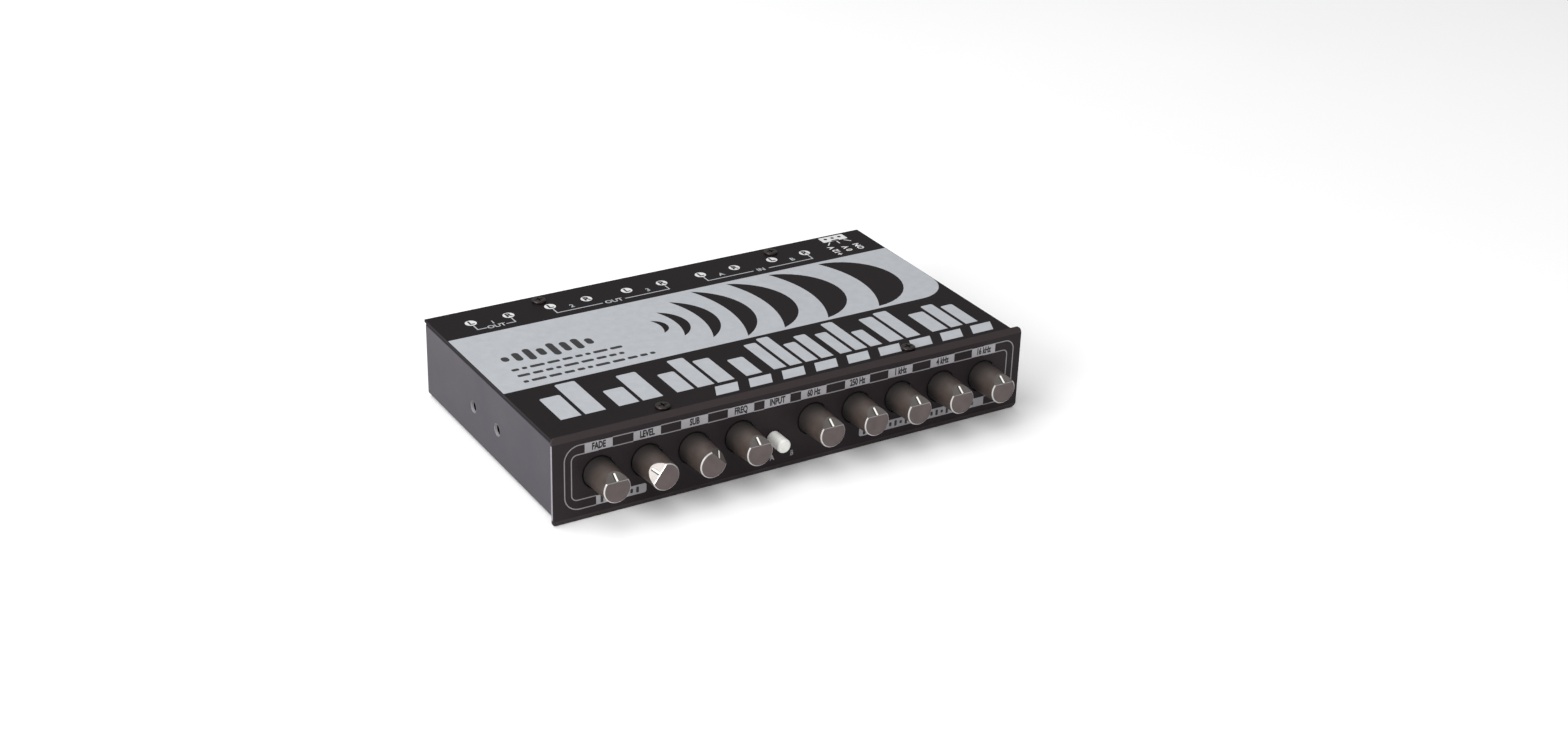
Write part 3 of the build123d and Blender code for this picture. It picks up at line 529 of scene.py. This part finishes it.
def thickened(mesh, plane, lift=0.0):
    """Gives a flat mesh the print's thickness, and lays it on its plane."""
    bm = bmesh.new()
    bm.from_mesh(mesh)
    bmesh.ops.remove_doubles(bm, verts=bm.verts, dist=WELD)
    bmesh.ops.dissolve_degenerate(bm, edges=bm.edges, dist=WELD / 2)
    bmesh.ops.recalc_face_normals(bm, faces=bm.faces)
    if bm.faces and sum(f.normal.z for f in bm.faces) < 0:
        bmesh.ops.reverse_faces(bm, faces=bm.faces)
    top = bmesh.ops.extrude_face_region(bm, geom=bm.faces[:])
    raised = [g for g in top["geom"] if isinstance(g, bmesh.types.BMVert)]
    bmesh.ops.translate(bm, verts=raised, vec=(0, 0, PRINT_THICKNESS + PRINT_SINK))
    bmesh.ops.recalc_face_normals(bm, faces=bm.faces)
    bmesh.ops.translate(bm, verts=bm.verts, vec=(0, 0, lift - PRINT_SINK))
    bmesh.ops.transform(bm, matrix=plane, verts=bm.verts)
    bm.to_mesh(mesh)
    bm.free()
    return mesh


def filled(outlines):
    """A flat mesh of closed outlines; one inside another is a hole."""
    curve = bpy.data.curves.new("outline", "CURVE")
    curve.dimensions = "2D"
    curve.fill_mode = "BOTH"
    for points in outlines:
        spline = curve.splines.new("POLY")
        spline.points.add(len(points) - 1)
        for target, point in zip(spline.points, points):
            target.co = (point.x, point.y, 0, 1)
        spline.use_cyclic_u = True
    holder = bpy.data.objects.new("outline", curve)
    mesh = bpy.data.meshes.new_from_object(holder)
    bpy.data.objects.remove(holder)
    bpy.data.curves.remove(curve)
    return mesh


# How much a letter's strokes are fattened, as a share of its height
PLAIN, MEDIUM, BOLD = 0.035, 0.05, 0.06
# A capital letter's height, as a share of the font's size
CAPITAL = 0.72


def lettering(words, weight=PLAIN):
    """A flat mesh of short labels: each is (text, (x, y), height, width factor, turn in degrees)."""
    bm = bmesh.new()
    for text, (x, y), height, stretch, turn in words:
        curve = bpy.data.curves.new("words", "FONT")
        curve.body = text
        curve.size = height / CAPITAL
        curve.align_x = "CENTER"
        curve.align_y = "CENTER"
        curve.resolution_u = 3
        curve.offset = height * weight
        holder = bpy.data.objects.new("words", curve)
        mesh = bpy.data.meshes.new_from_object(holder)
        place = Matrix.Translation((x, y, 0)) @ Matrix.Rotation(math.radians(turn), 4, "Z")
        mesh.transform(place @ Matrix.Diagonal((stretch, 1, 1, 1)))
        bm.from_mesh(mesh)
        bpy.data.objects.remove(holder)
        bpy.data.curves.remove(curve)
        bpy.data.meshes.remove(mesh)
    mesh = bpy.data.meshes.new("words")
    bm.to_mesh(mesh)
    bm.free()
    return mesh


def print_on(name, flat, plane, material, lift=0.0, body="case"):
    """Prints a flat mesh on a plane, as a piece of its own."""
    return as_piece(name, thickened(flat, plane, lift), material, body)


def cover_outline(points):
    """An outline given as x and depth in mm becomes one on the cover, in metres."""
    return [on_cover(p[0], p[1]) for p in points]


def millimetres(outline):
    """An outline given in mm becomes one in metres."""
    return [Vector((p[0] * MM, p[1] * MM)) for p in outline]


# ---------------------------------------------------------------------------------------
# Print on the cover
# ---------------------------------------------------------------------------------------
# Depths are measured from the panel's face, and all sizes here are in mm.
BAND_FRONT, BAND_REAR = 38.6, 82.6
BAND_EDGE = 87.3
BAND_CORNER = 13.0

# The silver band, with a row of dark crescents left open in its right-hand half
band_outline = [(-BAND_EDGE, BAND_FRONT)]
band_outline += arc((BAND_EDGE - BAND_CORNER, BAND_FRONT + BAND_CORNER), BAND_CORNER, -90, 0, 14)
band_outline += [(BAND_EDGE, BAND_REAR), (-BAND_EDGE, BAND_REAR)]
band = [cover_outline(band_outline)]
WAVE_DEPTH = 60.6
# Each crescent: the x of its two tips, their reach to either side, its width and its hollow
WAVES = (
    (-20.0, 5.2, 2.4, 1.4), (-15.0, 10.4, 4.0, 2.4), (-7.0, 16.0, 5.6, 3.6), (4.0, 20.4, 7.4, 4.4),
    (18.5, 20.4, 9.4, 4.8), (36.0, 20.4, 11.6, 5.2), (57.0, 20.4, 14.2, 5.6),
)
for foot, reach, width, hollow in WAVES:
    ends = [(foot, WAVE_DEPTH + reach), (foot, WAVE_DEPTH - reach)]
    outer = bow(*ends, hollow + width)
    inner = bow(*ends, hollow)
    band.append(cover_outline(outer + inner[-2:0:-1]))
print_on("cover_band", filled(band), COVER_PLANE, SILVER_INK)

# A plain row of dark bars in the band's left-hand end, and three dashed lines in front of it
BAR_START, BAR_PITCH, BAR_HALF, BAR_MIDDLE = -76.4, 4.4, 1.3, 61.2
title = []
for index, height in enumerate((3.4, 6.2, 8.6, 5.4, 9.4, 7.0, 8.0, 4.4)):
    x = BAR_START + index * BAR_PITCH
    y0, y1 = BAR_MIDDLE - height / 2, BAR_MIDDLE + height / 2
    title.append(cover_outline(rounded(x - BAR_HALF, x + BAR_HALF, y0, y1, 1.25)))
ROW_START, ROW_DEPTH, ROW_PITCH, ROW_HALF, ROW_GAP = -78, 52.6, 4.6, 0.8, 1.1
RUNS = (2.6, 4.4, 1.8, 3.6, 5.2)
for row, length in enumerate((44.0, 40.0, 50.0)):
    depth = ROW_DEPTH - row * ROW_PITCH
    dash = 0.0
    index = 0
    while dash + RUNS[(index * 2 + row) % 5] <= length:
        run = RUNS[(index * 2 + row) % 5]
        x = ROW_START + dash
        title.append(cover_outline(rounded(x, x + run, depth - ROW_HALF, depth + ROW_HALF, 0.6)))
        dash += run + ROW_GAP
        index += 1
print_on("cover_title_bars", filled(title), COVER_PLANE, BLACK_INK, lift=OVERPRINT)

# A row of tall bars in groups, like the levels of a spectrum display; a group is its two ends in x
BARS_FRONT, BARS_REAR = 14.0, 36.8
BARS_GAP = 1.4
BARS_PITCH = 6.9
GROUPS = (
    (-79.1, -63.3), (-58.6, -42.8), (-37.6, -16.4), (-11.9, -5.9), (-1.4, 21.7),
    (24.4, 41.1), (44.2, 56.7), (61.7, 68.0), (69.4, 80.6),
)
LEVELS = (
    0.7, 1.0, 0.52, 0.86, 0.62, 0.95, 0.78, 0.58, 0.9, 1.0,
    0.66, 0.82, 0.74, 1.0, 0.56, 0.88, 0.96, 0.68, 0.84,
)
bars = []
for x0, x1 in GROUPS:
    count = max(1, round((x1 - x0 + BARS_GAP) / BARS_PITCH))
    width = (x1 - x0 - BARS_GAP * (count - 1)) / count
    for index in range(count):
        low = x0 + index * (width + BARS_GAP)
        top = BARS_FRONT + (BARS_REAR - BARS_FRONT) * LEVELS[len(bars) % len(LEVELS)]
        bars.append(cover_outline(rounded(low, low + width, BARS_FRONT, top, 0.8, square=(0, 1))))
print_on("cover_bars", filled(bars), COVER_PLANE, SILVER_INK)

# A row of equal slanted dashes along the front edge
DASH_COUNT = 9
DASH_START = -27.6
DASH_PITCH = 12.6
DASH_WIDTH = 8.4
DASH_LEAN = 2.6
DASH_FRONT, DASH_REAR = 6.2, 11.9
dashes = []
for index in range(DASH_COUNT):
    x0 = DASH_START + index * DASH_PITCH
    outline = (
        (x0, DASH_FRONT), (x0 + DASH_WIDTH, DASH_FRONT),
        (x0 + DASH_WIDTH + DASH_LEAN, DASH_REAR), (x0 + DASH_LEAN, DASH_REAR),
    )
    dashes.append(cover_outline(outline))
print_on("cover_dashes", filled(dashes), COVER_PLANE, SILVER_INK)

# Over each phono jack a disc with its letter, and lines that group them
JACK_MARK_DEPTH = 92.2
GROUP_LINE_DEPTH = 86.4
LINE = 0.45
JACK_PAIR_PITCH, JACK_PITCH = 29.75, 14.0
DISC_RADIUS = 2.05
jack_low, jack_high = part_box("jack_shells")
jack_radius = (jack_high.z - jack_low.z) / 2
first_jack = (jack_low.x + jack_radius) / MM
jack_x = [first_jack + pair * JACK_PAIR_PITCH + side * JACK_PITCH for pair in range(5) for side in (0, 1)]
discs = [cover_outline(circle((x, JACK_MARK_DEPTH), DISC_RADIUS)) for x in jack_x]
print_on("jack_discs", filled(discs), COVER_PLANE, WHITE_INK)
letters = [("LR"[i % 2], on_cover(x, JACK_MARK_DEPTH), 2.7 * MM, 1.0, 0) for i, x in enumerate(jack_x)]
print_on("jack_letters", lettering(letters, BOLD), COVER_PLANE, BLACK_INK, lift=OVERPRINT)

group_lines = []
for first, last, gap in ((0, 1, 3.6), (2, 5, 4.4), (6, 9, 3.2)):
    x0, x1 = jack_x[first], jack_x[last]
    middle = (x0 + x1) / 2
    for end, inner in ((x0, middle - gap), (x1, middle + gap)):
        path = ((end, JACK_MARK_DEPTH - 2.4), (end, GROUP_LINE_DEPTH), (inner, GROUP_LINE_DEPTH))
        group_lines.append(stroke(cover_outline(path), LINE * MM))
words = []
for text, first, last, depth in (
    ("1", 0, 1, 89.6), ("OUT", 0, 1, GROUP_LINE_DEPTH),
    ("2", 2, 3, 89.2), ("OUT", 2, 5, GROUP_LINE_DEPTH), ("3", 4, 5, 89.2),
    ("A", 6, 7, 89.2), ("IN", 6, 9, GROUP_LINE_DEPTH), ("B", 8, 9, 89.2),
):
    middle = (jack_x[first] + jack_x[last]) / 2
    words.append((text, on_cover(middle, depth), 2.3 * MM, 1.0, 0))
print_on("group_lines", filled(group_lines), COVER_PLANE, SILVER_INK)
print_on("group_words", lettering(words), COVER_PLANE, SILVER_INK)

# Symbol of the power socket: its outline, and a dot, a lead line and a label for each of its pins
socket_low, socket_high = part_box("power_socket")
socket_x = (socket_low.x + socket_high.x) / 2 / MM
PIN_PITCH, LABEL_PITCH = 3.0, 5.0
symbol = [
    cover_outline(rounded(socket_x - 5.2, socket_x + 5.2, 96.8, 101.2, 0.4)),
    cover_outline(rounded(socket_x - 1.6, socket_x + 1.6, 96.9, 97.7, 0.1)),
]
for index in (-1, 0, 1):
    symbol.append(cover_outline(circle((socket_x + index * PIN_PITCH, 99.4), 0.72, 20)))
    path = ((socket_x + index * PIN_PITCH, 96.2), (socket_x + index * LABEL_PITCH, 94.0))
    symbol.append(stroke(cover_outline(path), LINE * MM))
print_on("power_symbol", filled(symbol), COVER_PLANE, WHITE_INK)
power_words = [
    (text, on_cover(socket_x + index * LABEL_PITCH, 88.6), 2.5 * MM, 0.95, 90)
    for index, text in ((-1, "+12 V"), (0, "0 V"), (1, "ON"))
]
print_on("power_words", lettering(power_words, MEDIUM), COVER_PLANE, WHITE_INK)

# ---------------------------------------------------------------------------------------
# Print on the front panel
# ---------------------------------------------------------------------------------------
# Two frame lines run round the panel, one inside the other, with a label box over each control.
OUTER_HALF = 11.3
INNER_HALF = 8.0
PRINT_MIDDLE = CENTRE_Z / MM + 0.3
OUTER_TOP, OUTER_BOTTOM = PRINT_MIDDLE + OUTER_HALF, PRINT_MIDDLE - OUTER_HALF
INNER_TOP, INNER_BOTTOM = PRINT_MIDDLE + INNER_HALF, PRINT_MIDDLE - INNER_HALF
LEFT_OUTER, LEFT_INNER = 84.9, 82.5
RIGHT_OUTER, RIGHT_INNER = 86.0, 83.4
LABEL_WIDTH = 9.7
FACE_LINE = 0.38
knob_x = {name: JOINT_AT[name].x / MM for name in CONTROLS}
button_low, button_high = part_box("source_button")
button_x = (button_low.x + button_high.x) / 2 / MM
label_x = [knob_x[name] for name in LEFT_CONTROLS]
label_x.append(button_x + 0.9)
label_x += [knob_x[name] for name in RIGHT_CONTROLS]
LEFT_BOX = (-74.0, -56.2)
RIGHT_BOX = (24.0, 74.8)


def end_loop(side, half_width, top, bottom, radius, top_end, bottom_end):
    """One end of a printed frame: along the top, round both corners, and back along the bottom."""
    corner_x = half_width - radius
    points = [Vector((top_end, top))]
    points += arc((corner_x, top - radius), radius, 90, 0)
    points += arc((corner_x, bottom + radius), radius, 0, -90)
    points += [Vector((bottom_end, bottom))]
    return millimetres([(p.x * side, p.y) for p in points])


loops = (
    end_loop(-1, LEFT_OUTER, OUTER_TOP, OUTER_BOTTOM, 5.2, -label_x[0], -LEFT_BOX[0]),
    end_loop(-1, LEFT_INNER, INNER_TOP, INNER_BOTTOM, 2.0, -label_x[0], -LEFT_BOX[0]),
    end_loop(1, RIGHT_OUTER, OUTER_TOP, OUTER_BOTTOM, 3.6, label_x[-1], RIGHT_BOX[1]),
    end_loop(1, RIGHT_INNER, INNER_TOP, INNER_BOTTOM, 1.8, label_x[-1], RIGHT_BOX[1]),
)
frame_lines = [stroke(loop, FACE_LINE * MM) for loop in loops]
for x0, x1 in zip(label_x, label_x[1:]):
    for height in (OUTER_TOP, INNER_TOP):
        path = millimetres(((x0 + LABEL_WIDTH / 2, height), (x1 - LABEL_WIDTH / 2, height)))
        frame_lines.append(stroke(path, FACE_LINE * MM))
print_on("panel_lines", filled(frame_lines), FACE_PLANE, LINE_INK)

label_boxes = []
for x in label_x:
    box = rounded(x - LABEL_WIDTH / 2, x + LABEL_WIDTH / 2, INNER_TOP, OUTER_TOP, 0.15)
    label_boxes.append(millimetres(box))
label_boxes.append(millimetres(rounded(*LEFT_BOX, OUTER_BOTTOM, INNER_BOTTOM, 0.8, square=(0, 3))))
label_boxes.append(millimetres(rounded(*RIGHT_BOX, OUTER_BOTTOM, INNER_BOTTOM, 0.8, square=(1, 2))))
print_on("panel_label_boxes", filled(label_boxes), FACE_PLANE, GREY_INK, lift=BOX_LIFT)

label_height = (INNER_TOP + OUTER_TOP) / 2 * MM
texts = ("FADE", "LEVEL", "SUB", "FREQ", "INPUT", "60 Hz", "250 Hz", "1 kHz", "4 kHz", "16 kHz")
label_words = [(text, (x * MM, label_height), 2.35 * MM, 0.62, 0) for text, x in zip(texts, label_x)]
print_on("panel_labels", lettering(label_words, BOLD), FACE_PLANE, BLACK_INK, lift=TOP_PRINT)

# Short marks of changing length in the two boxes along the panel's lower edge
MARK_PITCH, MARK_HALF = 2.1, 0.48
MARK_REACHES = (1.25, 0.75, 1.05, 0.55)
box_height = (INNER_BOTTOM + OUTER_BOTTOM) / 2
marks = []
for x0, x1 in (LEFT_BOX, RIGHT_BOX):
    count = int((x1 - x0 - 3.0) / MARK_PITCH)
    for index in range(count):
        x = x0 + 2.0 + index * MARK_PITCH
        reach = MARK_REACHES[index % 4]
        mark = rounded(x - MARK_HALF, x + MARK_HALF, box_height - reach, box_height + reach, 0.3)
        marks.append(millimetres(mark))
print_on("panel_box_marks", filled(marks), FACE_PLANE, BLACK_INK, lift=TOP_PRINT)

switch_words = []
for text, aside in (("A", -0.5), ("B", 7.0)):
    switch_words.append((text, ((button_x + aside) * MM, 5.0 * MM), 1.9 * MM, 0.85, 0))
print_on("switch_words", lettering(switch_words, BOLD), FACE_PLANE, GREY_INK)

# ---------------------------------------------------------------------------------------
# A white pointer beside a black strip of painted shadow, which stands for the shade in its engraved groove, on
# each knob's sloping facet
# ---------------------------------------------------------------------------------------
# Each facet starts this far above the knob's axis at the front, and leans back by this angle.
FACET_HEIGHT = 2.6 * MM
FACET_TILT = math.radians(56.0)
POINTER_WIDTH = 0.62 * MM
POINTER_CORNER = 0.2 * MM
POINTER_LIFT = 0.015 * MM
# Two knobs rest turned away from the middle of their range.
FACET_ANGLE = {"volume": math.radians(-54.0), "sub_level": math.radians(45.0)}

for control in CONTROLS:
    turn = FACET_ANGLE.get(control, 0.0)
    outward = Vector((math.sin(turn), 0, math.cos(turn)))
    sideways = Vector((math.cos(turn), 0, -math.sin(turn)))
    back = Vector((0, 1, 0))
    slope = (outward + back * math.tan(FACET_TILT)).normalized()
    normal = (outward * math.tan(FACET_TILT) - back).normalized()
    centre = Vector((JOINT_AT[control].x, KNOB_FRONT, JOINT_AT[control].z))
    start = centre + outward * FACET_HEIGHT
    plane = Matrix((
        (sideways.x, slope.x, normal.x, start.x),
        (sideways.y, slope.y, normal.y, start.y),
        (sideways.z, slope.z, normal.z, start.z),
        (0, 0, 0, 1),
    ))
    # Painted shadow: a black strip beside each pointer stands for the shade inside the pointer's engraved groove.
    groove_shadow = rounded(-POINTER_WIDTH, POINTER_WIDTH * 0.8, 0.2 * MM, 3.35 * MM, POINTER_CORNER)
    print_on("groove_" + control, filled([groove_shadow]), plane, BLACK_INK, body=control)
    line = rounded(-POINTER_WIDTH * 0.35, POINTER_WIDTH * 0.7, 0.3 * MM, 3.3 * MM, POINTER_CORNER)
    print_on("pointer_" + control, filled([line]), plane, POINTER_INK, POINTER_LIFT, control)

# ---------------------------------------------------------------------------------------
# The button's return spring, a coil of wire in place of the part's own spring
# ---------------------------------------------------------------------------------------
SPRING_TURNS = 4
SPRING_STEPS = 28
spring_low, spring_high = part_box("switch_spring")
SPRING_WIRE = 0.15 * MM
coil = (spring_high.x - spring_low.x) / 2 - SPRING_WIRE
middle_x, middle_z = (spring_low.x + spring_high.x) / 2, (spring_low.z + spring_high.z) / 2
depth_at_rest = spring_high.y - spring_low.y
rise = depth_at_rest - 2 * SPRING_WIRE

curve = bpy.data.curves.new("spring_line", "CURVE")
curve.dimensions = "3D"
curve.bevel_depth = SPRING_WIRE
curve.bevel_resolution = 2
curve.use_fill_caps = True
spline = curve.splines.new("POLY")
spline.points.add(SPRING_TURNS * SPRING_STEPS)
for index, point in enumerate(spline.points):
    angle = 2 * math.pi * index / SPRING_STEPS
    along = spring_low.y + SPRING_WIRE + rise * index / (SPRING_TURNS * SPRING_STEPS)
    point.co = (middle_x + coil * math.cos(angle), along, middle_z + coil * math.sin(angle), 1)
holder = bpy.data.objects.new("spring_line", curve)
spring_mesh = bpy.data.meshes.new_from_object(holder)
spring = as_piece("return_spring", spring_mesh, STEEL_WIRE, "case")
bpy.data.objects.remove(holder)
bpy.data.curves.remove(curve)
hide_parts("switch_spring")
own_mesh(spring)

# ---------------------------------------------------------------------------------------
# Camera, floor and light
# ---------------------------------------------------------------------------------------
AZIMUTH = math.radians(-31.89)
ELEVATION = math.radians(26.25)
ROLL = math.radians(1.95)
DISTANCE = 787.7 * MM
ASIDE = 21.1 * MM
LOWERED = 0.2 * MM
TARGET = Vector((0, FACE_Y + 50 * MM, 12 * MM))
LENS = 52.5

toward = Vector((
    math.sin(AZIMUTH) * math.cos(ELEVATION), -math.cos(AZIMUTH) * math.cos(ELEVATION), math.sin(ELEVATION)
))
right = Vector((0, 0, 1)).cross(toward).normalized()
up = toward.cross(right)
rolled_right = right * math.cos(ROLL) + up * math.sin(ROLL)
rolled_up = up * math.cos(ROLL) - right * math.sin(ROLL)
eye = TARGET + toward * DISTANCE + rolled_right * ASIDE - rolled_up * LOWERED
camera = bpy.data.objects.new("camera", bpy.data.cameras.new("camera"))
camera.data.sensor_width = 36.0
camera.data.lens = LENS
camera.data.clip_start = 0.05
camera.data.clip_end = 50.0
camera.matrix_world = Matrix((
    (rolled_right.x, rolled_up.x, toward.x, eye.x),
    (rolled_right.y, rolled_up.y, toward.y, eye.y),
    (rolled_right.z, rolled_up.z, toward.z, eye.z),
    (0, 0, 0, 1),
))
bpy.context.scene.collection.objects.link(camera)
bpy.context.scene.camera = camera

FLOOR_HALF = 6.0
floor_mesh = bpy.data.meshes.new("floor")
floor_corners = [(x * FLOOR_HALF, y * FLOOR_HALF, 0) for x, y in ((-1, -1), (1, -1), (1, 1), (-1, 1))]
floor_mesh.from_pydata(floor_corners, [], [(0, 1, 2, 3)])
floor = bpy.data.objects.new("floor", floor_mesh)
bpy.context.scene.collection.objects.link(floor)
floor_paint = Shader("floor_paint")
floor_paint.set(Roughness=0.9, Specular_IOR_Level=0.1)
floor_cloud = floor_paint.noise(3.0, 3.0)
floor_paint.colour(floor_paint.ramp(floor_cloud, ((0.3, (0.9, 0.9, 0.9)), (0.7, (0.92, 0.92, 0.92)))))
floor.data.materials.append(floor_paint.material)


def softbox(name, place, size, energy):
    """A rectangular area light that looks at the middle of the object."""
    aim = Vector((0, 0, 0.015))
    light = bpy.data.lights.new(name, "AREA")
    light.shape = "RECTANGLE"
    light.size, light.size_y = size
    light.energy = energy
    obj = bpy.data.objects.new(name, light)
    obj.location = place
    obj.rotation_euler = (Vector(place) - aim).to_track_quat("Z", "Y").to_euler()
    bpy.context.scene.collection.objects.link(obj)


softbox("key_left", place=(-0.85, -0.32, 0.5), size=(0.55, 0.45), energy=7.0)
softbox("overhead", place=(-0.55, 0.4, 1.4), size=(1.8, 1.8), energy=17.0)
softbox("front_fill", place=(0.1, -1.3, 0.9), size=(1.0, 0.5), energy=3.5)

WORLD_STRENGTH = 0.52
world = bpy.data.worlds.new("studio")
world.use_nodes = True
bpy.context.scene.world = world
background = world.node_tree.nodes["Background"]
background.inputs["Color"].default_value = (1, 1, 1, 1)
background.inputs["Strength"].default_value = WORLD_STRENGTH
bpy.context.scene.view_settings.view_transform = "Standard"
